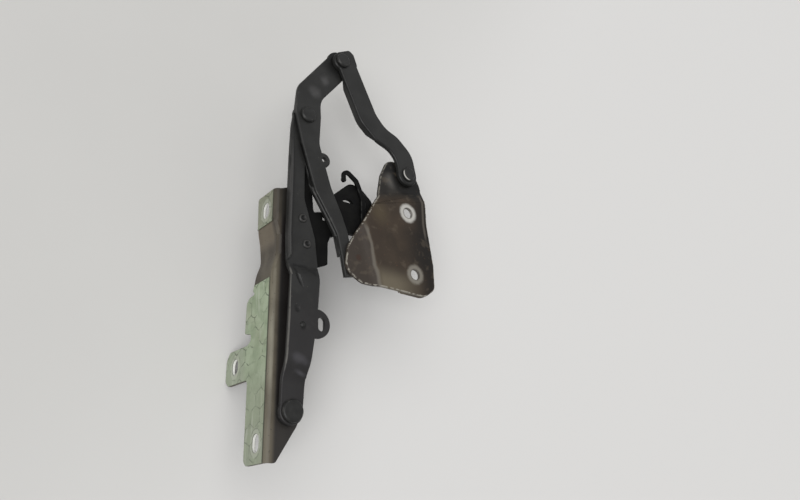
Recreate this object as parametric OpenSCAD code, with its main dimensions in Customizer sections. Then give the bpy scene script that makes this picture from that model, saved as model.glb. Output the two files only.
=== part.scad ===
// Bonnet hinge: a body bracket, a long opening arm, a lift lever, a curved link and a bonnet bracket.
// Origin midway between the two slots of the body flange, on its contact face.
// +X points from the body flange towards the bonnet, +Y along the arm, +Z along the pivots.

/* [Body bracket] */
// Sheet thickness of the body bracket
bracket_t = 2.5; // [2:0.5:4]
// How far the flange runs past its lower slot
flange_past_low = 17.5; // [14:0.5:24]
// How far the flange runs past its upper slot
flange_past_high = 18; // [13:0.5:24]
// Lean of the flange's lower edge and side tab against the line of slots, in degrees
flange_lean = 1.2; // [0:0.1:3]
// Width of the body flange below the web's outer face
flange_w = 36; // [32:1:44]
// Distance between the two flange slots
slot_pitch = 215; // [200:1:230]
// Width of the flange slots
slot_w = 11.5; // [9:0.5:12]
// Length of the flange slots
slot_len = 16; // [13:0.5:18]
// Height of the web's outer face above the line of slots
web_top = 17.8; // [16:0.1:20]
// Outer radius of the bend between flange and web
bend_r = 4.6; // [4:0.1:6]
// Width of the web over the pivots
web_w = 30; // [28:0.5:34]
// How far the side tab reaches past the flange's edge
tab_reach = 46; // [36:1:50]
// Width of the side tab
tab_w = 32; // [28:1:40]
// Depth of the formed dip between the two sealing pads
dip = 4; // [2:0.5:6]
// Thickness of the sealing pads
pad_t = 0.5; // [0.4:0.1:1.5]

/* [Opening arm] */
// Sheet thickness of the opening arm
arm_t = 3.5; // [3:0.5:5]
// Distance between the arm's two pivots along the arm
arm_len = 290; // [270:1:310]
// Height of the arm's raised middle over its two ends
arm_raise = 6.5; // [3:0.5:9]
// Height of the spacer that carries the arm over the web
spacer_h = 4; // [3.5:0.1:6]
// Height of the arm's upturned lip
lip_h = 5; // [3:0.5:8]
// Thickness of the stop plate
stop_t = 3; // [2:0.1:3.2]

/* [Lever, link and bonnet bracket] */
// Sheet thickness of the lift lever
lever_t = 4; // [3:0.5:5]
// Sheet thickness of the lift link
link_t = 4; // [3:0.5:5]
// How far the lift link reaches across the hinge between its pivots
link_reach = 83.5; // [76:0.5:92]
// Depth of the lift lever's turned down edge
lever_rim = 4; // [2:0.5:4]
// Depth of the lift link's turned down edges
link_rim = 4; // [2:0.5:6]
// Sheet thickness of the bonnet bracket
bonnet_t = 3; // [2.5:0.5:4]
// Height of the bonnet bracket's dished plate over its pivot ear
dish = 7.5; // [6:0.5:10]
// Depth of the bonnet bracket's turned down rim below its plate
rim_h = 3.6; // [2:0.1:3.8]
// Diameter of the two bonnet bolt holes
bonnet_hole_d = 11; // [9:0.5:12]

/* [Pivots] */
// Diameter of the arm pivot's rivet shank
arm_shank_d = 10; // [8:0.5:12]
// Diameter of the other pivots' rivet shanks
shank_d = 9; // [7:0.5:10]
// Wall of the plain bushes
bush_wall = 1.5; // [1:0.1:2]
// Radial running clearance of a bush on its rivet
run_fit = 0.05; // [0.02:0.01:0.09]
// Clearance between pieces that turn on each other
gap = 0.3; // [0.3:0.05:0.5]

/* [Hidden] */
$fn = 36;
steps = 5;

// Pivot axes in plan
flange_lo = -slot_pitch / 2 - flange_past_low;
flange_hi = slot_pitch / 2 + flange_past_high;
p1 = [19.6, flange_lo + 41.9];
p2 = p1 + [5.5, arm_len];
p3 = p2 + [37, 76.5];
p4 = p3 + [link_reach, -108.5];

// Levels along the pivots: each piece stands on the one below it
washer_h = 1;
arm_z = web_top + spacer_h;
lever_z = arm_z + arm_t + washer_h;
link_z = lever_z + lever_t + washer_h + gap;
ear_z = link_z - washer_h - gap - bonnet_t;
plate_z = ear_z + dish;
corner_drop = plate_z - (lever_z + lever_t + 2 * gap) - 0.4;

// The flange in its own plane: along its slots, then across them
edge_z = web_top - flange_w;
tab_z = edge_z - tab_reach;
tab_lo = flange_lo + 74.5;
tab_slot = [tab_lo + tab_w / 2, tab_z + 18.2];
dip_hi = slot_pitch / 2 - 14.8;
dip_lo = dip_hi - 47;
dip_ramp = 14;
pad_top = web_top - bend_r - 0.4;

// The arm's centre line: place across, place along, half width
arm_line = [[p1.x, p1.y, 11], [p1.x + 1, p1.y + 30, 11.7], [p1.x + 2.7, p1.y + 48, 12.8],
            [p1.x + 5.4, p1.y + 80, 14.5], [p1.x + 7.2, p1.y + 120, 15.3], [p1.x + 6.9, p1.y + 133, 16.1],
            [p1.x + 5, p1.y + 160, 15.5], [p1.x - 1.3, p1.y + 200, 9], [p1.x - 1.3, p2.y - 50, 8.5],
            [p2.x - 3, p2.y - 16, 11.5], [p2.x, p2.y, 12.4]];
arm_up = [p1.y + 28, p1.y + 43];
arm_down = [p1.y + 121, p1.y + 132];
arm_tab = p1 + [20, 78.5];
tab_eye = p1 + [24, 78.3];
stop_pins = [p1 + [5.7, 180], p1 + [10.7, 155]];
stud_at = p1 + [5, 75];

// The lever's, the link's and the hook's centre lines
lever_line = [[p3.x + 0.9, p3.y - 0.6, 14], [p2.x + 1.8, p2.y + 26.4, 13.3], [p2.x + 1, p2.y + 2, 15],
              [p2.x + 4.7, p2.y - 30, 10.2], [p2.x + 19.5, p2.y - 75, 10],
              [p2.x + 34.5, p2.y - 101, 8], [p2.x + 42, p2.y - 116, 6.6],
              [p2.x + 47, p2.y - 138, 6.4], [p2.x + 51.5, p2.y - 159, 6.4]];
lever_eye = p2 + [19.6, -43.7];
link_line = [[p3.x + 5, p3.y + 2.5, 12], [p3.x + 22.5, p3.y - 33.5, 12.5], [p3.x + 33.5, p3.y - 56.5, 12.4],
             [p4.x - 34, p4.y + 37.5, 11.2], [p4.x - 17.2, p4.y + 32, 10.8], [p4.x - 3.6, p4.y + 19.5, 12],
             [p4.x + 0.5, p4.y, 12]];
hook_line = [[p2.x + 44, p2.y - 57.5, 2.2], [p2.x + 44, p2.y - 50.5, 2.2], [p2.x + 48.5, p2.y - 48, 2.2],
             [p2.x + 59, p2.y - 55, 2.4], [p2.x + 67, p2.y - 73, 2.8], [p2.x + 67, p2.y - 100, 2.8]];

// The bonnet bracket's outline round its pivot ear: place across, place along, corner radius
bonnet_outline = [[p4.x - 23, p4.y + 12.5, 12], [p4.x - 32, p4.y - 8, 10], [p4.x - 36, p4.y - 33, 12],
                  [p4.x - 46, p4.y - 46, 12], [p4.x - 74.5, p4.y - 97, 14], [p4.x - 79, p4.y - 122, 18],
                  [p4.x - 59, p4.y - 132.5, 14], [p4.x + 16, p4.y - 134, 14], [p4.x + 29, p4.y - 124, 10],
                  [p4.x + 28.5, p4.y - 98, 20], [p4.x + 21.5, p4.y - 54, 20], [p4.x + 20.5, p4.y - 8, 12],
                  [p4.x + 8, p4.y + 16, 12]];
bonnet_holes = [p4 + [-3.5, -46.5], p4 + [3.5, -112.5]];
crease = [p4 + [-61, -74], p4 + [-42, -134]];
fold = [-5, 4];
dish_turn = 16;
ear_edge = -19;
plate_edge = -34;

// Turns a place on the flange with its lean
function lean(p) =
    let (c = cos(flange_lean), s = sin(flange_lean))
    [p.x * c - p.y * s, p.x * s + p.y * c, p[2]];

// Rounded outlines and bars
function xy(p) = [p.x, p.y];
function unit(v) = v / norm(v);
function heading(v) = atan2(v.y, v.x);
function arc(m, r, from, turn) =
    [for (k = [0:steps]) let (a = from + turn * k / steps) m + r * [cos(a), sin(a)]];
function bend(b, r, u, v) =
    let (half = acos(u * v) / 2,
         m = b + unit(u + v) * r / sin(half),
         from = heading(b + u * r / tan(half) - m),
         to = heading(b + v * r / tan(half) - m))
    arc(m, r, from, (to - from + 540) % 360 - 180);
function room(a, b, c) = 0.48 * min(norm(xy(a) - xy(b)), norm(xy(c) - xy(b)));
function corner(a, b, c) =
    let (u = unit(xy(a) - xy(b)), v = unit(xy(c) - xy(b)))
    b[2] > 0 && norm(u + v) > 0.01
        ? bend(xy(b), min(b[2], room(a, b, c) * tan(acos(u * v) / 2)), u, v)
        : [xy(b)];
function soft(p) =
    let (n = len(p))
    [for (i = [0:n - 1]) each corner(p[(i + n - 1) % n], p[i], p[(i + 1) % n])];
function way(c, i) = unit(xy(c[i + 1]) - xy(c[i]));
function beside(c, i, s, r) =
    let (last = len(c) - 1,
         a = way(c, max(i - 1, 0)),
         b = way(c, min(i, last - 1)),
         na = s * [-a.y, a.x],
         n = unit(na + s * [-b.y, b.x]),
         p = xy(c[i]) + n * c[i][2] / (n * na))
    [p.x, p.y, i == 0 || i == last ? 0 : r];
function bar(c, r) = soft(concat([for (i = [0:len(c) - 1]) beside(c, i, 1, r)],
                                 [for (i = [len(c) - 1:-1:0]) beside(c, i, -1, r)]));
function inset(p, d) = [for (i = [0:len(p) - 1])
    let (a = unit(xy(p[i]) - xy(p[(i + len(p) - 1) % len(p)])),
         b = unit(xy(p[(i + 1) % len(p)]) - xy(p[i])),
         n = unit([-a.y - b.y, a.x + b.x]),
         q = xy(p[i]) + n * d / (n * [-a.y, a.x]))
    [q.x, q.y, max(p[i][2] - d, 2)]];

// Raises a plan outline between two levels
module slab(z0, z1) {
    translate([0, 0, z0]) linear_extrude(z1 - z0) children();
}

// Carries an outline drawn along the arm and along the pivots across the hinge
module across(x0, x1) {
    translate([x0, 0, 0]) rotate([90, 0, 90]) linear_extrude(x1 - x0) children();
}

module at(p) {
    translate([p.x, p.y, 0]) children();
}

module hole(p, d) {
    at(p) translate([0, 0, -100]) cylinder(d = d, h = 200);
}

module ring(p, z0, z1, inner_d, outer_d) {
    at(p) slab(z0, z1) difference() {
        circle(d = outer_d);
        circle(d = inner_d);
    }
}

module slot_shape(length, width) {
    square([length - width, width], center = true);
    for (s = [-1, 1]) translate([s * (length - width) / 2, 0]) circle(d = width);
}

// A rivet turned in one piece: tail below z0, shank, low head above z1
module rivet(p, z0, z1, d, tail_d, tail_h, head_d, head_h) {
    at(p) rotate_extrude() polygon([
        [0, z0 - tail_h], [tail_d / 2 - 1, z0 - tail_h], [tail_d / 2, z0 - tail_h + 1], [tail_d / 2, z0],
        [d / 2, z0], [d / 2, z1], [head_d / 2, z1], [head_d / 2, z1 + head_h - 1.2],
        [head_d / 2 - 1.2, z1 + head_h], [0, z1 + head_h]]);
}

// The flange's slots, cut right across it
module flange_slots() {
    across(-10, 30) {
        for (s = [-1, 1]) translate([s * slot_pitch / 2, 0]) slot_shape(slot_len, slot_w);
        rotate(flange_lean) translate(tab_slot) slot_shape(slot_len - 1, slot_w - 0.5);
    }
}

module flange_shape() {
    step_lo = tab_lo + tab_w + 9;
    step_hi = dip_lo - 19;
    edge = [[flange_lo, edge_z + 5, 3], [flange_lo + 4, edge_z, 4], [tab_lo, edge_z - 2, 4],
            [tab_lo, tab_z + 6, 3], [tab_lo + 5, tab_z, 4], [tab_lo + tab_w - 7, tab_z, 5],
            [tab_lo + tab_w, tab_z + 6, 4], [tab_lo + tab_w, edge_z - 6, 4],
            [tab_lo + tab_w + 3, edge_z, 1.5], [step_lo, edge_z, 1.5],
            [step_lo + 3, edge_z - 12, 2], [step_hi - 4, edge_z - 12, 3], [step_hi, edge_z - 7, 2],
            [step_hi + 1.5, edge_z + 4, 1.2], [step_hi + 5, edge_z - 1, 1.2], [step_hi + 8, edge_z, 2],
            [dip_lo + 9, edge_z + 4, 6], [dip_hi - dip_ramp, edge_z - 1, 8], [dip_hi + 2, edge_z + 1, 8],
            [flange_hi, edge_z - 1, 3]];
    polygon(soft(concat([[flange_lo, web_top, 0]], [for (p = edge) lean(p)], [[flange_hi, web_top, 0]])));
}

// A straight run of flange and bend, its face at x
module angle_run(x, y0, y1) {
    intersection() {
        across(x - 1, x + bend_r + 3) flange_shape();
        translate([x, y1, web_top]) rotate([90, 0, 0]) linear_extrude(y1 - y0) {
            translate([0, -150]) square([bracket_t, 151 - bend_r]);
            translate([bend_r - 1, -bracket_t]) square([3, bracket_t]);
            intersection() {
                translate([bend_r, -bend_r]) difference() {
                    circle(bend_r);
                    circle(bend_r - bracket_t);
                }
                translate([0, -bend_r]) square(bend_r);
            }
        }
    }
}

// A slanted run between two faces, its outer corner planed off
module angle_ramp(p, q) {
    plane = 2.2;
    difference() {
        union() {
            intersection() {
                across(-1, 40) flange_shape();
                slab(tab_z - 1, web_top) polygon([p, q, q + [bracket_t, 0], p + [bracket_t, 0]]);
            }
            slab(web_top - bracket_t, web_top) polygon([p, q, q + [bend_r + 2, 0], p + [bend_r + 2, 0]]);
        }
        translate([p.x, p.y, web_top]) rotate([0, 0, heading(q - p) - 90]) rotate([-90, 0, 0])
            translate([0, 0, -5]) linear_extrude(norm(q - p) + 10)
                polygon([[-4, -4], [plane + 4, -4], [-4, plane + 4]]);
    }
}

module body_bracket() {
    color([0.38, 0.34, 0.3]) difference() {
        union() {
            angle_run(pad_t, flange_lo, dip_lo);
            angle_ramp([pad_t, dip_lo], [pad_t + dip, dip_lo + dip_ramp]);
            angle_run(pad_t + dip, dip_lo + dip_ramp, dip_hi - dip_ramp);
            angle_ramp([pad_t + dip, dip_hi - dip_ramp], [pad_t, dip_hi]);
            angle_run(pad_t, dip_hi, flange_hi);
            slab(web_top - bracket_t, web_top) polygon(soft([
                [pad_t + bend_r, flange_lo, 0], [pad_t + bend_r, dip_lo, 0],
                [pad_t + bend_r + dip, dip_lo + dip_ramp, 0], [pad_t + bend_r + dip, dip_hi - dip_ramp, 0],
                [pad_t + bend_r, dip_hi, 0], [pad_t + bend_r, flange_hi, 0], [14.6, flange_hi + 4, 4],
                [web_w, flange_hi + 7, 8], [web_w, p1.y - 9, 9], [9.6, flange_lo, 3]]));
        }
        flange_slots();
        hole(p1, arm_shank_d);
    }
}

module long_sealing_pad() {
    color([0.57, 0.62, 0.52]) difference() {
        intersection() {
            across(0, pad_t) flange_shape();
            across(-1, 2) translate([flange_lo, tab_z - 1])
                square([dip_lo - flange_lo, pad_top - tab_z + 1]);
        }
        flange_slots();
    }
}

module short_sealing_pad() {
    color([0.57, 0.62, 0.52]) difference() {
        intersection() {
            across(0, pad_t) flange_shape();
            across(-1, 2) translate([dip_hi, edge_z - 2])
                square([flange_hi - dip_hi, pad_top - edge_z + 2]);
        }
        flange_slots();
    }
}

module arm_pivot_rivet() {
    color([0.24, 0.24, 0.24])
        rivet(p1, web_top - bracket_t, arm_z + arm_t + gap, arm_shank_d, 16, 3, 20, 3.6);
}

module arm_pivot_spacer() {
    color([0.3, 0.28, 0.26]) ring(p1, web_top, arm_z - gap, arm_shank_d, 22);
}

module arm_plan() {
    polygon(bar(arm_line, 24));
    translate(p1) circle(11.5);
    translate(p2) circle(13);
    translate(arm_tab) circle(13.5);
}

// The arm seen from the side: two low ends and a raised middle
module arm_side(z0, z1) {
    polygon([[p1.y - 30, z0], [arm_up[0], z0], [arm_up[1], z0 + arm_raise], [arm_down[0], z0 + arm_raise],
             [arm_down[1], z0], [p2.y + 30, z0], [p2.y + 30, z1], [arm_down[1] + 1, z1],
             [arm_down[0] + 1, z1 + arm_raise], [arm_up[1] - 1, z1 + arm_raise], [arm_up[0] - 1, z1],
             [p1.y - 30, z1]]);
}

module arm_lip() {
    lip_t = 2.6;
    lip_line = [for (i = [5:9]) [arm_line[i].x - arm_line[i][2] + lip_t / 2, arm_line[i].y, lip_t / 2]];
    top = arm_z + arm_t + lip_h;
    intersection() {
        slab(arm_z, top) polygon(bar(lip_line, 40));
        across(-20, 60) polygon([[arm_down[1], arm_z], [arm_down[1] + 7, top], [p2.y - 70, top],
                                 [p2.y - 20, arm_z + arm_t], [p2.y - 20, arm_z]]);
    }
}

module main_arm() {
    color([0.21, 0.21, 0.2]) difference() {
        union() {
            intersection() {
                slab(arm_z, arm_z + arm_t + arm_raise) arm_plan();
                across(-20, 80) arm_side(arm_z, arm_z + arm_t);
            }
            arm_lip();
        }
        hole(p1, arm_shank_d + 2 * (run_fit + bush_wall));
        hole(p2, shank_d);
        for (p = stop_pins) hole(p, 5);
        hole(stud_at, 4);
        at(tab_eye) translate([0, 0, arm_z - 1]) linear_extrude(40) rotate(90) slot_shape(13, 7);
    }
}

module arm_pivot_bush() {
    d = arm_shank_d + 2 * run_fit;
    color([0.5, 0.45, 0.35]) ring(p1, arm_z, arm_z + arm_t, d, d + 2 * bush_wall);
}

module stop_plate() {
    reach = p2.x + 37.5;
    color([0.14, 0.14, 0.14]) difference() {
        slab(arm_z - stop_t, arm_z) polygon(soft([
            [p1.x - 1, p1.y + 198, 8], [p1.x + 3, p1.y + 234, 8], [p1.x + 6, p1.y + 249, 3],
            [p1.x + 10.5, p1.y + 240, 4], [p1.x + 18, p1.y + 208, 8], [p1.x + 19.5, p1.y + 191, 4],
            [p1.x + 25, p1.y + 193, 5], [p1.x + 35, p1.y + 195, 5], [reach, p1.y + 187, 6],
            [reach, p1.y + 171, 3], [p1.x + 39, p1.y + 171, 3], [p1.x + 36, p1.y + 163, 6],
            [p1.x + 36, p1.y + 141, 2], [p1.x + 25, p1.y + 136, 3], [p1.x + 3, p1.y + 138, 5],
            [p1.x - 1, p1.y + 150, 8]]));
        for (p = stop_pins) hole(p, 5);
        hole(p1 + [31.5, 187.5], 4);
    }
}

module stop_rivets() {
    color([0.26, 0.26, 0.26]) for (p = stop_pins)
        rivet(p, arm_z - stop_t + 1.2, arm_z + arm_t, 5, 5, 1.2, 9, 1.6);
}

module locating_stud() {
    z = arm_z + arm_raise;
    color([0.24, 0.24, 0.24]) rivet(stud_at, z, z + arm_t, 4, 6, 1.2, 5.5, 1.5);
}

module lever_pivot_rivet() {
    color([0.22, 0.22, 0.22]) rivet(p2, arm_z, lever_z + lever_t + gap, shank_d, 15, 2.6, 16.5, 3.2);
}

module lever_pivot_washer() {
    color([0.3, 0.3, 0.3]) ring(p2, arm_z + arm_t, lever_z - gap, shank_d, 22);
}

// The lever's turned down edge, beside the arm and clear of it
module lever_edge() {
    rim_t = 2.4;
    narrow = [for (p = lever_line) [p.x, p.y, p[2] - rim_t / 2]];
    line = [for (i = [3:7]) let (p = beside(narrow, i, -1, 0)) [p.x, p.y, rim_t / 2]];
    intersection() {
        slab(lever_z - lever_rim, lever_z + 1) polygon(bar(line, 22));
        across(p2.x - 20, p2.x + 80) polygon([
            [p2.y - 62, lever_z + 1], [p2.y - 62, lever_z], [p2.y - 70, lever_z - lever_rim],
            [p2.y - 200, lever_z - lever_rim], [p2.y - 200, lever_z + 1]]);
    }
}

module lift_lever() {
    color([0.21, 0.21, 0.2]) difference() {
        union() {
            lever_edge();
            slab(lever_z, lever_z + lever_t) polygon(bar(lever_line, 22));
            slab(lever_z, lever_z + lever_t) translate(p3) circle(14);
            slab(lever_z, lever_z + lever_t) translate(lever_eye) circle(7.6);
        }
        hole(p2, shank_d + 2 * (run_fit + bush_wall));
        hole(p3, shank_d);
        hole(lever_eye, 5.2);
    }
}

module lever_pivot_bush() {
    d = shank_d + 2 * run_fit;
    color([0.5, 0.45, 0.35]) ring(p2, lever_z, lever_z + lever_t, d, d + 2 * bush_wall);
}

module cable_guide() {
    low = arm_z + gap;
    color([0.08, 0.08, 0.08]) difference() {
        slab(low, lever_z) difference() {
            polygon(soft([[p2.x + 43, p2.y - 114, 3], [p2.x + 80, p2.y - 112, 5], [p2.x + 80, p2.y - 72, 8],
                          [p2.x + 66, p2.y - 60, 8], [p2.x + 53, p2.y - 58, 10], [p2.x + 38, p2.y - 72, 8],
                          [p2.x + 28, p2.y - 82, 4]]));
            translate([p2.x + 51, p2.y - 83.9]) intersection() {
                circle(7.5);
                translate([-10, 3.6]) square([20, 10]);
            }
        }
    }
}

module cable_hook() {
    color([0.1, 0.1, 0.1]) union() {
        slab(lever_z, lever_z + 3.4) polygon(bar(hook_line, 5));
        slab(lever_z, lever_z + 3.4) translate(xy(hook_line[0])) circle(2.6);
    }
}

module link_pivot_rivet() {
    color([0.22, 0.22, 0.22]) rivet(p3, lever_z, link_z + link_t + gap, shank_d, 15, 2.6, 15.5, 3.4);
}

module link_pivot_washer() {
    color([0.3, 0.3, 0.3]) ring(p3, lever_z + lever_t, link_z - gap, shank_d, 19);
}

// Planes off the start of the link's turned down edges, a way along from one point to the next
module rim_start(p, q, d) {
    low = link_z - link_rim;
    top = link_z + link_rim * 4 / 9;
    at(p) rotate([0, 0, heading(xy(q) - xy(p))]) rotate([90, 0, 0]) translate([0, 0, -30]) linear_extrude(60)
        polygon([[d - 80, low - 1], [d + 11, low - 1], [d + 9, low], [d - 4, top], [d - 80, top]]);
}

module lift_link() {
    rim_t = 2.4;
    hollow = [for (p = link_line) [p.x, p.y, p[2] - rim_t]];
    color([0.2, 0.2, 0.2]) difference() {
        union() {
            difference() {
                slab(link_z - link_rim, link_z + 1) difference() {
                    polygon(bar(link_line, 26));
                    polygon(bar(hollow, 26));
                }
                rim_start(link_line[0], link_line[1], 20);
                rim_start(link_line[3], link_line[2], 0);
            }
            slab(link_z, link_z + link_t) polygon(soft([
                [p3.x - 9, p3.y + 3, 4], [p3.x - 4.5, p3.y + 10.5, 4], [p3.x + 9, p3.y + 18.5, 4],
                [p3.x + 15, p3.y + 15, 5], [p3.x + 20, p3.y + 2, 6], [p3.x + 14, p3.y - 12, 2],
                [p3.x - 3, p3.y - 10, 2]]));
            slab(link_z, link_z + link_t) polygon(bar(link_line, 26));
            slab(link_z, link_z + link_t) translate(p3) circle(10);
            slab(link_z, link_z + link_t) translate(p4) circle(12.4);
        }
        hole(p3, shank_d + 2 * (run_fit + bush_wall));
        hole(p4, shank_d + 2 * (run_fit + bush_wall));
    }
}

module link_pivot_bush() {
    d = shank_d + 2 * run_fit;
    color([0.5, 0.45, 0.35]) ring(p3, link_z, link_z + link_t, d, d + 2 * bush_wall);
}

module bracket_pivot_bush() {
    d = shank_d + 2 * run_fit;
    color([0.5, 0.45, 0.35]) ring(p4, link_z, link_z + link_t, d, d + 2 * bush_wall);
}

// The dished plate: a flat field that runs down to the pivot ear
module dished_sheet() {
    at(p4) rotate(dish_turn) across(-100, 100) polygon([
        [-150, plate_z], [plate_edge, plate_z], [ear_edge, ear_z], [60, ear_z], [60, ear_z + bonnet_t],
        [ear_edge + 1, ear_z + bonnet_t], [plate_edge + 1, plate_z + bonnet_t], [-150, plate_z + bonnet_t]]);
}

// Carries an outline drawn across the crease along it
module along_crease() {
    run = crease[1] - crease[0];
    translate([crease[0].x, crease[0].y, 0]) rotate([0, 0, heading(run)]) rotate([90, 0, 90])
        translate([0, 0, -80]) linear_extrude(240) children();
}

module bonnet_bracket() {
    rim_t = 2.2;
    low = plate_z - corner_drop;
    top = low + bonnet_t;
    climb = corner_drop / (fold[1] - fold[0]);
    reach = 24;
    color([0.36, 0.33, 0.29]) difference() {
        union() {
            intersection() {
                slab(ear_z - 1, plate_z + bonnet_t + 1) polygon(soft(bonnet_outline));
                along_crease() polygon([
                    [-60, ear_z - 2], [180, ear_z - 2], [180, top + reach * climb],
                    [fold[0] + reach, top + reach * climb], [fold[0], top], [-60, top]]);
                union() {
                    dished_sheet();
                    along_crease() polygon([
                        [-60, low], [fold[0], low], [fold[1] + 2, plate_z + 2 * climb],
                        [fold[1] + 2, plate_z + 2], [-60, plate_z + 2]]);
                }
            }
            intersection() {
                slab(plate_z - rim_h, plate_z + 1) difference() {
                    polygon(soft(bonnet_outline));
                    polygon(soft(inset(bonnet_outline, rim_t)));
                }
                at(p4) rotate(dish_turn) translate([-50, -160, 0]) cube([160, 158 + plate_edge, 60]);
                translate([p4.x - 35, p4.y - 150, 0]) cube([120, 150, 60]);
            }
        }
        hole(p4, shank_d);
        for (p = bonnet_holes) hole(p, bonnet_hole_d);
    }
}

module bracket_pivot_rivet() {
    color([0.3, 0.3, 0.3]) rivet(p4, ear_z, link_z + link_t + gap, shank_d, 15, 2.6, 15.5, 2.6);
}

module bracket_pivot_washer() {
    color([0.3, 0.3, 0.3]) ring(p4, ear_z + bonnet_t, link_z - gap, shank_d, 20);
}

body_bracket();
long_sealing_pad();
short_sealing_pad();
arm_pivot_rivet();
arm_pivot_spacer();
main_arm();
arm_pivot_bush();
stop_plate();
stop_rivets();
locating_stud();
lever_pivot_rivet();
lever_pivot_washer();
lift_lever();
lever_pivot_bush();
cable_guide();
cable_hook();
link_pivot_rivet();
link_pivot_washer();
lift_link();
link_pivot_bush();
bracket_pivot_bush();
bonnet_bracket();
bracket_pivot_rivet();
bracket_pivot_washer();
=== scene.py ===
import math

import bpy
from mathutils import Matrix, Vector


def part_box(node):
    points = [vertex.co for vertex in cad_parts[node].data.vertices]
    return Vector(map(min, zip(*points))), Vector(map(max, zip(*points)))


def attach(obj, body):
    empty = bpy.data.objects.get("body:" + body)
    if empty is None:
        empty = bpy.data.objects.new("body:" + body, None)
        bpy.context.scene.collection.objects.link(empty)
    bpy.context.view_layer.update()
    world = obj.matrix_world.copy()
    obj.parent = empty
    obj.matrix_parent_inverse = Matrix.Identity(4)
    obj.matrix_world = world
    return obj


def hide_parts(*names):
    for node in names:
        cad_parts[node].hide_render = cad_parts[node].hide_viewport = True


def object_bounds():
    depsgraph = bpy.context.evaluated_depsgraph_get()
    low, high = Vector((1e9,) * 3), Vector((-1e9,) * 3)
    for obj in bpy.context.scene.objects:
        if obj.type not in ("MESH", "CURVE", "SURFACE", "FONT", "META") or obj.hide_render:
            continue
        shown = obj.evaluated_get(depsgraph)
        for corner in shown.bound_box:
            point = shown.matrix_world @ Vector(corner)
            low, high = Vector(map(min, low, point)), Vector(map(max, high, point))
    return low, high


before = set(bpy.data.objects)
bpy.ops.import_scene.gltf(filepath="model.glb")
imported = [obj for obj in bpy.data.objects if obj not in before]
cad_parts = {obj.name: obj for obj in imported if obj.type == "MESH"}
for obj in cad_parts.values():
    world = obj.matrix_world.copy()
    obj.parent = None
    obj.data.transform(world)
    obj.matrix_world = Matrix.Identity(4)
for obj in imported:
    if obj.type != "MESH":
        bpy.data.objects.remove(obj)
cad_box = [list(corner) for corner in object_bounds()]


# Studio: the hinge lies on its side in a pale room, under a broad soft lamp, with a weak lamp across
# from it and a fill lamp by the camera. The camera looks down past the body flange, turned so that
# the arm runs up the picture.
scene = bpy.context.scene
scene.view_settings.view_transform = "Standard"

eye = bpy.data.cameras.new("eye")
eye.sensor_width = 36.0
eye.lens = 33.75
camera = bpy.data.objects.new("camera", eye)
scene.collection.objects.link(camera)
right = Vector((0.790, -0.025, 0.613))
up = Vector((-0.213, 0.926, 0.313))
back = Vector((-0.575, -0.378, 0.726))
stands_at = Vector((-0.2999, -0.1980, 0.5809))
camera.matrix_world = Matrix.Translation(stands_at) @ Matrix((right, up, back)).transposed().to_4x4()
scene.camera = camera

room = bpy.data.worlds.new("room")
room.use_nodes = True
walls = room.node_tree.nodes["Background"]
walls.inputs["Color"].default_value = (0.98, 0.985, 1.0, 1.0)
walls.inputs["Strength"].default_value = 0.38
scene.world = room


def hang_lamp(name, strength, spread, tint, side):
    """Hangs a lamp on one side of the hinge, as wide as spread in degrees."""
    light = bpy.data.lights.new(name, "SUN")
    light.energy = strength
    light.angle = math.radians(spread)
    light.color = tint
    lamp = bpy.data.objects.new(name, light)
    scene.collection.objects.link(lamp)
    lamp.rotation_euler = side.to_track_quat("Z", "Y").to_euler()


hang_lamp("soft_lamp", 1.15, 66, (1.0, 0.99, 0.975), Vector((-0.40, 0.16, 0.90)))
hang_lamp("sheen_lamp", 0.2, 50, (1.0, 1.0, 1.0), Vector((0.575, 0.45, 0.68)))
hang_lamp("fill_lamp", 1.65, 30, (0.985, 0.99, 1.0), back)


# Body bracket: a pressed steel angle that bolts to the wing rail, 2.5 mm thick, in a thin brown-grey
# lacquer, with a painted highlight along its bend and a painted shadow of the arm on its web. Its
# edges are rolled over a little by the press.
def colour(*levels):
    """A colour read as 0 to 255, in the linear values that shaders take."""
    linear = [c / 255 / 12.92 if c < 10 else ((c / 255 + 0.055) / 1.055) ** 2.4 for c in levels]
    return (*linear, 1.0)


class Shade:
    """A socket of a finish: sums on it add Math nodes, and node() adds any other node."""

    def __init__(self, tree, socket):
        self.tree = tree
        self.socket = socket

    def node(self, kind, settings, inputs, out=0):
        made = self.tree.nodes.new(kind)
        for key, value in settings.items():
            setattr(made, key, value)
        for key, value in inputs.items():
            if isinstance(value, Shade):
                self.tree.links.new(value.socket, made.inputs[key])
            else:
                made.inputs[key].default_value = value
        return Shade(self.tree, made.outputs[out])

    def sum(self, operation, a, b=0.0):
        return self.node("ShaderNodeMath", {"operation": operation}, {0: a, 1: b})

    def __add__(self, other):
        return self.sum("ADD", self, other)

    def __radd__(self, other):
        return self.sum("ADD", other, self)

    def __sub__(self, other):
        return self.sum("SUBTRACT", self, other)

    def __rsub__(self, other):
        return self.sum("SUBTRACT", other, self)

    def __mul__(self, other):
        return self.sum("MULTIPLY", self, other)

    def __rmul__(self, other):
        return self.sum("MULTIPLY", other, self)

    def __truediv__(self, other):
        return self.sum("DIVIDE", self, other)

    def __pow__(self, other):
        return self.sum("POWER", self, other)

    def __abs__(self):
        return self.sum("ABSOLUTE", self)


def finish(name, metallic=0.0, specular=0.5):
    """A new material: itself, its shader and the place on the hinge."""
    material = bpy.data.materials.new(name)
    material.use_nodes = True
    tree = material.node_tree
    shader = tree.nodes["Principled BSDF"]
    shader.inputs["Metallic"].default_value = metallic
    shader.inputs["Specular IOR Level"].default_value = specular
    return material, shader, Shade(tree, tree.nodes.new("ShaderNodeTexCoord").outputs["Object"])


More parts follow.
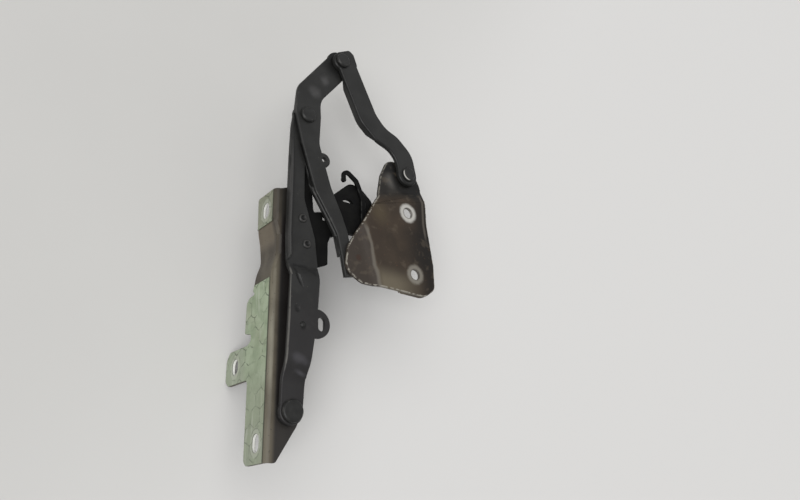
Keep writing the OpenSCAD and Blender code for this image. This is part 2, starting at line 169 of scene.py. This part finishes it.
def cloud(place, scale, detail=3.0, stretch=None):
    """Soft noise, its scale in patches per metre."""
    if stretch:
        place = place.node("ShaderNodeMapping", {}, {"Vector": place, "Scale": stretch})
    return place.node("ShaderNodeTexNoise", {}, {"Vector": place, "Scale": scale, "Detail": detail}, "Fac")


def between(value, low, high):
    """0 at low, 1 at high, eased between them."""
    return value.node("ShaderNodeMapRange", {"interpolation_type": "SMOOTHSTEP"},
                      {"Value": value, "From Min": low, "From Max": high})


def paint(mask, under, over):
    """Lays one colour over another where the mask is 1."""
    return mask.node("ShaderNodeMix", {"data_type": "RGBA"}, {0: mask, 6: under, 7: over}, 2)


def parts_of(place):
    """The place's three numbers."""
    apart = place.node("ShaderNodeSeparateXYZ", {}, {"Vector": place})
    return [Shade(place.tree, apart.socket.node.outputs[k]) for k in range(3)]


def wire(shader, base, rough, height, depth):
    """Joins a finish's colour, roughness and bump to its shader."""
    bump = height.node("ShaderNodeBump", {}, {"Strength": 1.0, "Distance": depth, "Height": height})
    links = height.tree.links
    links.new(base.socket, shader.inputs["Base Color"])
    links.new(rough.socket, shader.inputs["Roughness"])
    links.new(bump.socket, shader.inputs["Normal"])


def rolled_faces(place):
    """1 on the rolled edges of a pressing."""
    return place.node("ShaderNodeAttribute", {"attribute_name": "rolled"}, {}, "Fac")


def merge(piece, even, top):
    """Joins a solid's loose triangles, and its faces that turn less than even degrees from each other.
    What lies past top along the arm is trimmed off."""
    if piece.data.has_custom_normals:
        bpy.ops.mesh.customdata_custom_splitnormals_clear()
    bpy.ops.object.mode_set(mode="EDIT")
    bpy.ops.mesh.select_all(action="SELECT")
    bpy.ops.mesh.remove_doubles(threshold=0.00002)
    bpy.ops.mesh.dissolve_limited(angle_limit=math.radians(even))
    if top:
        bpy.ops.mesh.select_all(action="SELECT")
        bpy.ops.mesh.bisect(plane_co=(0.0, top, 0.0), plane_no=(0.0, 1.0, 0.0),
                            use_fill=True, clear_outer=True)
    bpy.ops.object.mode_set(mode="OBJECT")


def ease_bend(piece, picks, ease, steps, rubbed):
    """Rounds the sharp edges that a test of an edge's middle, way and two faces picks out."""
    bpy.ops.object.mode_set(mode="EDIT")
    bpy.ops.mesh.select_mode(type="EDGE")
    bpy.ops.mesh.select_all(action="DESELECT")
    bpy.ops.object.mode_set(mode="OBJECT")
    sides = {}
    for face in piece.data.polygons:
        for key in face.edge_keys:
            sides.setdefault(key, []).append(face.normal.copy())
    for edge in piece.data.edges:
        a, b = (piece.data.vertices[k].co for k in edge.vertices)
        normals = sides[edge.key]
        sharp = normals[0].angle(normals[-1]) > 0.1
        edge.select = sharp and picks((a + b) / 2, b - a, normals)
    bpy.ops.object.mode_set(mode="EDIT")
    bpy.ops.mesh.bevel(offset=ease, segments=steps, profile=0.5, clamp_overlap=False,
                       material=1 if rubbed else -1)
    bpy.ops.object.mode_set(mode="OBJECT")


def dimple(piece, spot, reach, depth, turn):
    """Presses a shallow oval dimple into a face that looks along the pivots. The punch is an oval four
    depths high that stands three depths up, so it is 1.512 times as wide as the dimple it leaves."""
    bpy.ops.object.select_all(action="DESELECT")
    bpy.ops.mesh.primitive_uv_sphere_add(segments=48, ring_count=32, rotation=(0.0, 0.0, turn),
                                         location=Vector(spot) + Vector((0.0, 0.0, 3.0 * depth)))
    punch = bpy.context.object
    punch.scale = (1.512 * reach[0], 1.512 * reach[1], 4.0 * depth)
    cut = piece.modifiers.new("dimple", "BOOLEAN")
    cut.operation = "DIFFERENCE"
    cut.solver = "EXACT"
    cut.object = punch
    bpy.context.view_layer.objects.active = piece
    bpy.ops.object.modifier_apply(modifier=cut.name)
    bpy.data.objects.remove(punch)


def roll_edges(piece, roll, steps):
    """Rolls the sharp edges over, notes where they are for the finish, and keeps flat faces flat."""
    bpy.ops.object.select_all(action="DESELECT")
    piece.select_set(True)
    bpy.ops.object.shade_smooth()
    edge = piece.modifiers.new("rolled edge", "BEVEL")
    edge.width = roll
    edge.segments = steps
    edge.limit_method = "ANGLE"
    edge.angle_limit = math.radians(40)
    edge.miter_outer = "MITER_ARC"
    edge.material = 1
    bpy.ops.object.modifier_apply(modifier=edge.name)
    rolled = piece.data.attributes.new("rolled", "FLOAT", "CORNER")
    for face in piece.data.polygons:
        for corner in face.loop_indices:
            rolled.data[corner].value = face.material_index
        face.material_index = 0
    piece.data.materials.pop(index=1)
    flat = piece.modifiers.new("flat faces", "WEIGHTED_NORMAL")
    flat.mode = "FACE_AREA"
    flat.weight = 60
    bpy.ops.object.modifier_apply(modifier=flat.name)


def dress(node, name, body, material, roll, steps=3, even=0.5, top=None, bends=(), dimples=()):
    """Makes the finished piece from a copy of its solid, and puts it on its body in the solid's place.
    The second material slot marks rolled faces until they are noted."""
    piece = bpy.data.objects.new(name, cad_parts[node].data.copy())
    scene.collection.objects.link(piece)
    bpy.ops.object.select_all(action="DESELECT")
    piece.select_set(True)
    bpy.context.view_layer.objects.active = piece
    piece.data.materials.clear()
    piece.data.materials.append(material)
    piece.data.materials.append(material)
    merge(piece, even, top)
    for bend in bends:
        ease_bend(piece, *bend)
    for press in dimples:
        dimple(piece, *press)
    roll_edges(piece, roll, steps)
    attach(piece, body)
    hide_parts(node)


flange_slots = ((-0.1075, 0.0), (0.1075, 0.0), (-0.0335, -0.0467))

bracket_lacquer, shader, place = finish("bracket_lacquer", specular=0.35)
x, y, z = parts_of(place)
patch = cloud(place, 30.0, 4.0)
grain = cloud(place, 900.0, 2.0)
streak = cloud(place, 30.0, 4.0, (3.0, 0.35, 3.0))
specks = between(cloud(place, 420.0, 2.0), 0.66, 0.72)
scuff = rolled_faces(place) * between(cloud(place, 160.0), 0.45, 0.6)
above = between(z, 0.0, 0.012)
web = between(x, 0.0045, 0.0095) * above
# shaded_web: painted shadow of the arm on the web under it.
shaded_web = between(x, 0.0065, 0.0105) * above * between(y, -0.098, -0.07)
turn = between(z, 0.0128, 0.0150)
bend = between(x, 0.0055, 0.0012) * turn
# Painted highlights along the bend, streaky over most of it and plainer on its lower half. Its upper end is
# painted darker.
bend_highlight = bend * between(streak, 0.25, 0.55) * between(y, 0.085, 0.03)
lower_bend_highlight = bend * between(y, 0.01, -0.01) * between(y, -0.075, -0.045)
dark_bend = bend * between(y, 0.05, 0.09)
low_bend = between(x, 0.0060, 0.0025) * turn * between(y, -0.050, -0.070)
top_bend = between(x, 0.0008, 0.0035) * turn * between(y, 0.094, 0.104)
dip = between(y, 0.042, 0.056) * between(y, 0.097, 0.085)
dip_highlight = between(y, 0.066, 0.078) * between(z, 0.0135, 0.0085)
base = paint(between(patch, 0.36, 0.64), colour(68, 62, 53), colour(88, 82, 70))
base = paint(between(streak, 0.45, 0.7) * 0.5, base, colour(57, 50, 42))
base = paint(dip * between(streak, 0.35, 0.6) * 0.5, base, colour(66, 59, 50))
base = paint(web * 0.9, base, paint(between(patch, 0.35, 0.65), colour(22, 20, 21), colour(31, 29, 29)))
base = paint(shaded_web * 0.85, base, colour(14, 11, 10))
base = paint(bend_highlight * 0.65, base, colour(138, 134, 116))
base = paint(lower_bend_highlight * 0.35, base, colour(148, 145, 130))
base = paint(dark_bend * 0.5, base, colour(58, 54, 48))
base = paint(low_bend * 0.5, base, colour(74, 68, 61))
base = paint(top_bend * 0.6, base, colour(36, 34, 29))
# Painted highlight on the side of the dip.
base = paint(dip_highlight * 0.5, base, colour(116, 106, 90))
# Painted light: the slots' inner walls are painted near white, as if brightly lit.
wall = between(x, 0.0004, 0.0006) * between(x, 0.0029, 0.0026)
for slot_y, slot_z in flange_slots:
    inside = between(abs(y - slot_y), 0.0090, 0.0084) * between(abs(z - slot_z), 0.0066, 0.0062)
    base = paint(inside * wall, base, colour(220, 220, 214))
base = paint(specks * 0.5, base, colour(34, 30, 27))
base = paint(scuff * 0.6, base, colour(126, 121, 107))
wire(shader, base, 0.4 + 0.22 * patch, grain + 2.5 * patch, 0.0001)


def dip_fold(middle, way, normals):
    """The four upright bends of the dip between the pads."""
    folds = (0.0457, 0.0597, 0.0787, 0.0927)
    upright = abs(way.z) > 0.009 and abs(way.y) < 0.001
    return upright and middle.x < 0.0085 and min(abs(middle.y - fold) for fold in folds) < 0.0006


dress("body_bracket", "bracket_pressing", "body", bracket_lacquer, roll=0.0007,
      bends=[(dip_fold, 0.005, 4, False)])


# Sealing pads: two thin pads bonded to the flange, round its slots, in a pale green sealer that has
# crazed into honeycomb cells about 16 mm across. The long pad's upper end is trimmed square.
def away(a, b, spot):
    """How far a place on a face lies from a spot."""
    return ((a - spot[0]) ** 2.0 + (b - spot[1]) ** 2.0) ** 0.5


def from_middle(value, start, pitch):
    """How far a value is from the middle of its step, where steps of one pitch begin at start."""
    return value.sum("FLOORED_MODULO", value - start, pitch) - pitch / 2


pad_sealer, shader, place = finish("pad_sealer", specular=0.35)
x, y, z = parts_of(place)
patch = cloud(place, 70.0, 4.0)
grain = cloud(place, 700.0, 3.0)
cell = 0.0165
row = math.sqrt(3.0)
across = z / cell + 50.0 + 0.34 * cloud(place, 90.0, 3.0)
along = y / cell + 50.0 + 0.34 * cloud(place, 75.0, 3.0)
even_u = from_middle(across, 0.0, 1.0)
even_v = from_middle(along, 0.0, row)
odd_u = from_middle(across, 0.5, 1.0)
odd_v = from_middle(along, row / 2, row)
even_row = across.sum("LESS_THAN", even_u * even_u + even_v * even_v, odd_u * odd_u + odd_v * odd_v)
cell_u = abs(odd_u + even_row * (even_u - odd_u))
cell_v = abs(odd_v + even_row * (even_v - odd_v))
rim = 0.5 - across.sum("MAXIMUM", cell_u, cell_u * 0.5 + cell_v * (row / 2))
broken = between(cloud(place, 50.0, 3.0), 0.40, 0.56) * between(cloud(place, 170.0, 2.0), 0.36, 0.48)
crack = between(rim, 0.034, 0.012) * broken
gap_shade_line = between(abs(z - 0.0126), 0.0007, 0.0002)
bolt_mark = 0.0 * x
bolt_ring = 0.0 * x
for slot_y, slot_z in flange_slots:
    far = away(0.8 * y, z, (0.8 * slot_y, slot_z)) + 0.003 * cloud(place, 260.0)
    bolt_mark = bolt_mark + between(far, 0.0118, 0.0108)
    bolt_ring = bolt_ring + between(abs(far - 0.0112), 0.0007, 0.0002)
low_end = between(y, -0.082, -0.102) * between(cloud(place, 60.0, 4.0), 0.35, 0.6)
side_tab = between(z, -0.022, -0.034)
short_pad = between(y, 0.08, 0.10)
specks = between(cloud(place, 300.0, 3.0), 0.62, 0.72)
scrape_along = between(cloud(place, 70.0, 5.0, (1.0, 0.35, 3.0)), 0.57, 0.68)
scrape_across = between(cloud(place, 90.0, 5.0, (1.0, 1.6, 0.5)), 0.60, 0.70)
base = paint(between(patch, 0.33, 0.67), colour(133, 146, 120), colour(154, 166, 141))
base = paint(between(y, -0.02, -0.08) * 0.6, base, colour(134, 139, 121))
base = paint(short_pad * 0.75, base, colour(122, 120, 106))
base = paint(between(cloud(place, 26.0, 3.0), 0.5, 0.75) * 0.5, base, colour(142, 144, 122))
base = paint(side_tab * 0.5, base, colour(148, 154, 138))
base = paint(low_end * 0.6, base, colour(142, 146, 132))
base = paint(bolt_mark * 0.5, base, colour(168, 172, 157))
base = paint(bolt_ring * between(cloud(place, 140.0), 0.38, 0.5) * 0.5, base, colour(84, 90, 76))
base = paint(specks * 0.4, base, colour(166, 172, 154))
base = paint(scrape_along * 0.4, base, colour(176, 181, 165))
base = paint(scrape_across * 0.35, base, colour(104, 112, 94))
base = paint(crack * (0.65 - 0.35 * between(y, -0.03, -0.075)), base, colour(60, 70, 54))
# Painted shade: a thin dark line along the pad's edge by the bend, and darker rolled edges round both pads.
base = paint(gap_shade_line * 0.6, base, colour(60, 66, 54))
base = paint(rolled_faces(place) * 0.85, base, colour(66, 71, 60))
wire(shader, base, 0.45 + 0.25 * patch, grain - 4.0 * crack, 0.0001)
for node, name, top in (("long_sealing_pad", "long_pad", 0.0374), ("short_sealing_pad", "short_pad", None)):
    dress(node, name, "body", pad_sealer, roll=0.0002, steps=2, top=top)


# Arm pivot: a stepped steel rivet through the web, with a steel spacer that carries the arm clear
# of the bracket. Both are under the same black paint as the arm, as all the hinge's rivets are.
def axis_of(node):
    """Where the axis of a round solid stands, seen along the pivots."""
    low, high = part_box(node)
    return (low.xy + high.xy) / 2


def rivet(node, name, body):
    """A headed pivot rivet."""
    dress(node, name, body, rivet_paint, roll=0.0005)


bracket_pivot = axis_of("bracket_pivot_rivet")
small_rivets = ((0.0253, 0.0969), (0.0303, 0.0719))

rivet_paint, shader, place = finish("rivet_paint", specular=0.28)
x, y = parts_of(place)[:2]
patch = cloud(place, 140.0, 3.0)
grain = cloud(place, 1100.0, 2.0)
scuff = rolled_faces(place) * between(cloud(place, 260.0, 3.0), 0.52, 0.64)
far = away(x, y, bracket_pivot)
# A painted glint: a bright crescent on the lower-left rim of the bonnet bracket pivot rivet's head.
lower_left = ((x - bracket_pivot.x) * -0.80 + (y - bracket_pivot.y) * -0.60) / (far + 0.0001)
rivet_glint = between(far, 0.0063, 0.0067) * between(far, 0.0075, 0.0072) * between(lower_left, 0.35, 0.85)
base = paint(between(patch, 0.35, 0.7), colour(29, 29, 28), colour(39, 39, 38))
base = paint(scuff * 0.35, base, colour(84, 82, 79))
# On the two small rivets: a lighter ring, a painted highlight, and a black centre, painted shade in their
# hollow.
for spot in small_rivets:
    far = away(x, y, spot)
    base = paint(between(far, 0.0042, 0.0036) * between(far, 0.0026, 0.0030) * 0.5, base, colour(74, 72, 70))
    base = paint(between(far, 0.0023, 0.0017) * 0.9, base, colour(4, 4, 4))
base = paint(rivet_glint * 0.75, base, colour(190, 187, 180))
wire(shader, base, 0.36 + 0.2 * patch - 0.08 * scuff, grain + 2.0 * patch, 0.00008)
dress("arm_pivot_spacer", "pivot_spacer", "body", rivet_paint, roll=0.0005)
rivet("arm_pivot_rivet", "pivot_rivet_arm", "body")


# Opening arm: a 3.5 mm pressing with a raised middle, an upturned lip and a slotted tab, dip
# painted satin black. It turns on the arm pivot through a bronze bush pressed into its lower eye.
def oval(a, b, spot, reach, lean=0.0):
    """0 at a spot on a face, and 1 on the rim of an oval round it."""
    off_a = a - spot[0]
    off_b = b - spot[1] + lean * off_a
    return ((off_a / reach[0]) ** 2.0 + (off_b / reach[1]) ** 2.0) ** 0.5


def stroke(place, start, end, wide):
    """1 along a ragged line between two places, seen along the pivots."""
    x, y = parts_of(place)[:2]
    long = math.dist(start, end)
    way_x, way_y = ((b - a) / long for a, b in zip(start, end))
    run = (x - start[0]) * way_x + (y - start[1]) * way_y
    off = abs((x - start[0]) * way_y - (y - start[1]) * way_x) + 0.0014 * cloud(place, 300.0, 3.0)
    ends = between(run, -0.001, 0.002) * between(run, long + 0.001, long - 0.003)
    return between(off, wide + 0.0007, 0.0009) * ends


arm_pivot = axis_of("arm_pivot_rivet")
lever_pivot = axis_of("lever_pivot_rivet")
stud = axis_of("locating_stud")
tab_slot = (0.0436, -0.0048)
lever_sheen = (((0.0325, 0.2370), 0.0095, 0.5), ((0.0440, 0.2545), 0.0080, 0.6))
low_bend_sheen = (((0.0222, -0.0385), (0.0130, 0.0065), 0.5), ((0.0255, -0.0505), (0.0085, 0.0034), 0.6))
punch_marks = ((0.0186, 0.0045), (0.0250, -0.0105))
creases = (((0.0150, 0.0450), (0.0232, 0.0285), 0.0024), ((0.0235, 0.0448), (0.0362, 0.0482), 0.0020))

arm_paint, shader, place = finish("arm_paint", specular=0.28)
x, y, z = parts_of(place)
patch = cloud(place, 40.0, 3.0)
grain = cloud(place, 1000.0, 2.0)
dust = between(cloud(place, 110.0, 5.0), 0.54, 0.76)
chip = between(cloud(place, 420.0, 2.0), 0.75, 0.77)
scuff = rolled_faces(place) * between(cloud(place, 180.0, 3.0), 0.56, 0.68)
lever_face = between(z, 0.0290, 0.0300) * between(z, 0.0312, 0.0306)
up_lever = 0.58 * (x - 0.0360) + 0.81 * (y - 0.2475)
link_shadow = between(up_lever, 0.018, 0.030) * lever_face * between(y, 0.24, 0.25)
lip_foot = between(x, 0.0120, 0.0124) * between(x, 0.0158, 0.0126) * between(z, 0.0265, 0.0258)
lip_shadow = lip_foot * between(y, 0.055, 0.075) * between(y, 0.185, 0.165)
lit_lip_top = between(x, 0.0130, 0.0120) * between(z, 0.0262, 0.0285) * between(y, 0.050, 0.060)
below_link = between(z, 0.034, 0.0325)
kink = abs(y - 0.0465 - 0.018 * (cloud(place, 70.0, 2.0) - 0.5))
fold = between(kink, 0.0034, 0.0008) * between(x, 0.012, 0.017) * between(x, 0.042, 0.036) * below_link
left_edge_highlight = rolled_faces(place) * between(x, 0.0150, 0.0130) * between(z, 0.0270, 0.0300) * between(y, 0.056, 0.045)
link_edge_shade = rolled_faces(place) * between(z, 0.0325, 0.0335)
base = paint(between(patch, 0.35, 0.68), colour(30, 30, 29), colour(38, 38, 37))
base = paint(between(y, 0.06, -0.03) * 0.6, base, colour(40, 38, 39))
for spot, wide, much in lever_sheen:
    far = away(x, y, spot) / wide + 0.7 * cloud(place, 120.0, 3.0)
    base = paint(between(far, 1.35, 0.45) * lever_face * much, base, colour(78, 77, 77))
# Painted shadow of the link on the lever's face.
base = paint(link_shadow * 0.85, base, colour(9, 9, 8))
base = paint(lip_shadow * 0.7, base, colour(11, 11, 11))
# Painted highlight on the lip's top. It is palest where the lip begins, where the paint is also worn pale.
base = paint(lit_lip_top * 0.5, base, colour(62, 61, 60))
base = paint(between(y, 0.056, 0.051) * lit_lip_top * 0.7, base, colour(120, 118, 113))
for spot, reach, much in low_bend_sheen:
    far = oval(x, y, spot, reach, 0.25) + 0.7 * cloud(place, 130.0, 3.0)
    base = paint(between(far, 1.35, 0.4) * much, base, colour(74, 73, 77))
# Painted shade in and round the two punch marks.
for spot in punch_marks:
    far = away(x, y, spot) + 0.0015 * patch
    base = paint(between(far, 0.0044, 0.0020) * between(z, 0.0305, 0.0312) * 0.7, base, colour(10, 10, 9))
# Painted shade along the fold where the raised middle steps down, and in the two pressed creases.
base = paint(fold * 0.65, base, colour(9, 9, 9))
for start, end, wide in creases:
    line = stroke(place, start, end, wide) * between(z, 0.0275, 0.0290) * below_link
    base = paint(line * 0.75, base, colour(7, 7, 6))
# Painted highlight along the arm's left rolled edge.
base = paint(left_edge_highlight * between(cloud(place, 120.0, 3.0), 0.25, 0.45) * 0.7, base, colour(94, 92, 88))
base = paint(dust * 0.12, base, colour(66, 65, 62))
base = paint(scuff * 0.16, base, colour(88, 86, 82))
# Painted shade darkens the link's rolled edges to the tone of its face.
base = paint(link_edge_shade * 0.6, base, colour(12, 12, 11))
base = paint(chip * 0.4, base, colour(112, 109, 103))
wire(shader, base, 0.36 + 0.16 * patch + 0.12 * dust, grain + 4.0 * patch - 2.0 * chip, 0.00008)


def arm_fold(middle, way, normals):
    """The four bends across the arm, at the ends of its raised middle."""
    return abs(way.x) > 0.008 and abs(way.y) < 0.0002 and abs(way.z) < 0.0002


def outline(*eyes):
    """A test for the edges between a pressing's upper face and its sides, away from its eyes."""
    def test(middle, way, normals):
        tilts = sorted(normal.z for normal in normals)
        upper = -0.3 < tilts[0] < 0.3 and tilts[1] > 0.6
        return upper and all(math.dist(middle.xy, spot) > reach for spot, reach in eyes)
    return test


arm_outline = outline((arm_pivot, 0.007), (lever_pivot, 0.005), (small_rivets[0], 0.003),
                      (small_rivets[1], 0.003), (stud, 0.0025), (tab_slot, 0.007))
arm_dimples = [((0.0184, 0.0060, 0.0318), (0.0032, 0.0032), 0.0007, 0.0),
               ((0.0196, 0.0350, 0.0318), (0.0026, 0.0100), 0.0017, 0.46),
               ((0.0300, 0.0420, 0.0318), (0.0070, 0.0022), 0.0012, 0.25)]
dress("main_arm", "opening_arm", "arm", arm_paint, roll=0.0012, even=3.0, dimples=arm_dimples,
      bends=[(arm_fold, 0.0060, 6, False), (arm_outline, 0.0013, 4, True)])

bush_bronze, shader, place = finish("bush_bronze", metallic=0.8)
patch = cloud(place, 300.0, 3.0)
base = paint(between(patch, 0.4, 0.65), colour(96, 78, 54), colour(128, 106, 74))
wire(shader, base, 0.35 + 0.2 * patch, patch, 0.00005)


def bush(node, name, body):
    """A plain bronze bush, pressed into an eye."""
    dress(node, name, body, bush_bronze, roll=0.0002, steps=2)


bush("arm_pivot_bush", "bush_arm", "arm")


# Stop plate: a flat black steel plate riveted under the arm with two small rivets, on which the
# lever rests. Its paint is darker than the arm's, a painted shade for the lever's shadow on it. A
# small locating stud stands on the arm's raised middle.
shaded_stop_paint, shader, place = finish("shaded_stop_paint", specular=0.1)
patch = cloud(place, 60.0, 3.0)
grain = cloud(place, 1000.0, 2.0)
scuff = rolled_faces(place) * between(cloud(place, 200.0), 0.5, 0.62)
base = paint(between(patch, 0.35, 0.7), colour(6, 6, 6), colour(13, 13, 12))
base = paint(scuff * 0.4, base, colour(70, 69, 66))
wire(shader, base, 0.5 + 0.2 * patch, grain + 2.0 * patch, 0.00008)
dress("stop_plate", "lever_stop", "arm", shaded_stop_paint, roll=0.0006)
rivet_dimples = [((*spot, 0.0269), (0.0027, 0.0027), 0.0011, 0.0) for spot in small_rivets]
dress("stop_rivets", "small_rivets", "arm", rivet_paint, roll=0.0004, dimples=rivet_dimples)
dress("locating_stud", "stud", "arm", rivet_paint, roll=0.0004)


# Lift lever: a bent black pressing that turns on the arm's upper pivot, with a bush, a washer and a
# large headed rivet, and a small eye for the cable's clip.
def washer(node, name, body):
    """A thin steel washer between two pressings."""
    dress(node, name, body, rivet_paint, roll=0.0002, steps=2)


link_pivot = axis_of("link_pivot_rivet")
clip_eye = (0.0447, 0.1632)
lever_outline = outline((lever_pivot, 0.007), (link_pivot, 0.005), (clip_eye, 0.003))
lever_dimples = [((0.0425, 0.2585, 0.0303), (0.0085, 0.0055), 0.0006, 0.6),
                 ((0.0325, 0.2395, 0.0303), (0.0075, 0.0055), 0.0006, 0.5)]
dress("lift_lever", "lever", "lever", arm_paint, roll=0.0010, even=2.0, dimples=lever_dimples,
      bends=[(lever_outline, 0.0018, 5, True)])
washer("lever_pivot_washer", "washer_lever", "arm")
bush("lever_pivot_bush", "bush_lever", "lever")
rivet("lever_pivot_rivet", "pivot_rivet_lever", "arm")


# Cable guide and hook: black plastic mouldings under the lever, a plate and a hooked finger that
# lead the release cable.
guide_plastic, shader, place = finish("guide_plastic", specular=0.1)
patch = cloud(place, 120.0, 3.0)
grain = cloud(place, 1500.0, 3.0)
scuff = rolled_faces(place) * between(cloud(place, 150.0, 3.0), 0.45, 0.6)
base = paint(between(patch, 0.35, 0.7), colour(9, 9, 9), colour(16, 16, 15))
base = paint(scuff * 0.4, base, colour(58, 58, 56))
wire(shader, base, 0.5 + 0.2 * patch, grain, 0.00012)
dress("cable_guide", "guide", "lever", guide_plastic, roll=0.0008)
dress("cable_hook", "hook", "lever", guide_plastic, roll=0.0009)


# Lift link: a curved black channel pressing from the lever's end to the bonnet bracket, with a bush
# in each eye.
link_outline = outline((link_pivot, 0.007), (bracket_pivot, 0.007))
dress("lift_link", "link", "link", arm_paint, roll=0.0010, even=2.0,
      bends=[(link_outline, 0.0022, 6, True)])
washer("link_pivot_washer", "washer_link", "lever")
bush("link_pivot_bush", "bush_link", "link")
bush("bracket_pivot_bush", "bush_bracket", "link")
rivet("link_pivot_rivet", "pivot_rivet_link", "lever")


# Bonnet bracket: a dished pressing that bolts under the bonnet, in brown-grey lacquer, with bright
# rings rubbed round its two bolt holes by the bolts' flanges. Painted light lies on its lacquer: a
# painted reflection, lighter at the lower left and darker on the right and in the middle, painted
# shade in its bowl, holes, ear corner and at the step's foot, and painted highlights on the step,
# the rim and the ear.
bolt_holes = ((0.1421, 0.1284), (0.1491, 0.0624))

bonnet_lacquer, shader, place = finish("bonnet_lacquer", specular=0.25)
x, y, z = parts_of(place)
patch = cloud(place, 34.0, 4.0)
grain = cloud(place, 900.0, 2.0)
rub = cloud(place, 250.0, 3.0)
wander = 0.010 * cloud(place, 45.0, 2.0) - 0.005
rings = []
hole_shade = 0.0 * x
for spot in bolt_holes:
    far = away(x, y, spot)
    rings.append(between(far + 0.0022 * rub, 0.0132, 0.0092))
    hole_shade = hole_shade + between(far + 0.0008 * rub, 0.0072, 0.0060)
bowl_shade = between(away(x, y, (0.1485, 0.1735)) + 0.4 * wander, 0.0265, 0.018)
lower_left = between(x + 0.5 * y + wander, 0.165, 0.135)
step_in = 0.0905 + 0.3 * (0.0950 - y) + 0.9 * wander - x
step_tread = between(step_in, -0.001, 0.003) * between(y, 0.112, 0.100)
step_shade = between(step_in, -0.0012, -0.005) * between(step_in, -0.030, -0.010)
step_highlight = between(abs(step_in), 0.0032, 0.0005) * between(y, 0.106, 0.097)
low_end = between(y, 0.068, 0.048) * between(x, 0.165, 0.12) * between(step_in, 0.002, -0.006)
dish_side = between(z, 0.0365, 0.0300) * between(y, 0.11, 0.15)
edge_in = 0.1668 + 0.16 * x.sum("MAXIMUM", 0.121 - y, 0.0) - x
dark_right = between(edge_in, 0.026, 0.008) * between(y, 0.175, 0.150)
dark_middle = between(edge_in + wander, 0.044, 0.022) * between(y, 0.122, 0.104) * between(y, 0.062, 0.082)
rim_highlight = between(abs(edge_in - 0.0048), 0.0022, 0.0004) * between(y, 0.098, 0.112)
olive = between(oval(x, y, (0.105, 0.119), (0.020, 0.022)) + 0.8 * patch, 1.35, 0.5)
ear = between(z, 0.0372, 0.0350) * between(y, 0.135, 0.145)
ear_top = between(y + 0.35 * (x - 0.125) + 0.5 * wander, 0.162, 0.176) * ear
ear_corner_shade = between(away(x, y, (0.1165, 0.1525)) + 0.3 * wander, 0.010, 0.003)
ear_sheen = between(away(x, y, (0.1275, 0.1655)) + 0.3 * wander, 0.012, 0.003) * ear
rust_spot = between(away(x, y, (0.0824, 0.0673)) + 0.002 * rub, 0.0052, 0.0028)
scuff = rolled_faces(place) * between(cloud(place, 300.0, 4.0), 0.40, 0.56)
base = paint(between(patch, 0.34, 0.66), colour(44, 36, 28), colour(58, 48, 38))
# Painted reflection in the lacquer: lighter towards the lower left.
base = paint(lower_left * 0.42, base, colour(74, 65, 54))
base = paint(step_tread * 0.6, base, colour(50, 45, 42))
# The stepped corner: painted shade at its foot and a painted highlight along its edge.
base = paint(step_shade * 0.55, base, colour(42, 33, 26))
base = paint(step_highlight * 0.45, base, colour(118, 114, 106))
base = paint(low_end * 0.75, base, colour(106, 98, 82))
base = paint(dish_side * 0.8, base, colour(42, 41, 39))
# Painted reflection in the lacquer: darker on the right side and in the middle.
base = paint(dark_right * 0.85, base, colour(18, 14, 11))
base = paint(dark_middle * 0.7, base, colour(20, 16, 13))
base = paint(olive * 0.55, base, colour(78, 68, 50))
# Painted highlight along the bend of the right rim.
base = paint(rim_highlight * 0.5, base, colour(98, 92, 84))
base = paint(ear_top * 0.9, base, colour(9, 8, 8))
# Painted shade at the ear's lower-left corner, and a painted highlight (ear_sheen) on the ear.
base = paint(ear_corner_shade * 0.6, base, colour(20, 17, 15))
base = paint(ear_sheen * 0.55, base, colour(92, 90, 87))
# Painted shade in the dish's bowl below the pivot.
base = paint(bowl_shade * 0.9, base, colour(13, 12, 11))
base = paint(between(cloud(place, 120.0, 4.0), 0.56, 0.7) * 0.22, base, colour(100, 90, 76))
base = paint(rust_spot * 0.6, base, colour(56, 36, 26))
base = paint(between(cloud(place, 380.0, 2.0), 0.73, 0.76) * 0.4, base, colour(100, 68, 45))
base = paint(rings[0] * 0.9, base, colour(178, 176, 170))
base = paint(rings[1] * 0.75, base, colour(126, 122, 113))
# Painted shade on the bolt holes' rims and walls.
base = paint(hole_shade * 0.8, base, colour(84, 80, 75))
base = paint(scuff * (0.8 - 0.4 * ear), base, colour(146, 142, 132))
wire(shader, base, 0.36 + 0.24 * patch, grain + 2.5 * patch, 0.0001)


def dish_fold(middle, way, normals):
    """The two bends of the dish and the two of the stepped corner."""
    folds = (Vector((0.9613, 0.2756, 0.0)), Vector((0.3019, -0.9533, 0.0)))
    return max(abs(way.normalized().dot(fold)) for fold in folds) > 0.9995


plate_outline = outline((bracket_pivot, 0.005), (bolt_holes[0], 0.006), (bolt_holes[1], 0.006))
dress("bonnet_bracket", "bonnet_plate", "bonnet", bonnet_lacquer, roll=0.0013,
      bends=[(dish_fold, 0.0036, 5, False), (plate_outline, 0.0012, 4, True)])
washer("bracket_pivot_washer", "washer_bracket", "bonnet")
rivet("bracket_pivot_rivet", "pivot_rivet_bracket", "bonnet")


# Floor: a matt pale board with a faint mottle, just under the hinge. It is no part of the hinge,
# and painted light makes it a little paler on the right.
gap = 0.0005
bpy.ops.object.select_all(action="DESELECT")
bpy.ops.mesh.primitive_plane_add(size=8.0, location=(0.0, 0.0, cad_box[0][2] - gap))
floor = bpy.context.object
floor.name = "floor"
floor_board, shader, place = finish("floor_board", specular=0.2)
x, y = parts_of(place)[:2]
patch = cloud(place, 6.0, 3.0)
base = paint(patch, colour(192, 191, 188), colour(197, 196, 193))
base = paint(between(x - 0.6 * y, -0.25, 0.25), base, colour(208, 207, 205))
wire(shader, base, 0.75 + 0.1 * patch, patch, 0.0001)
floor.data.materials.append(floor_board)
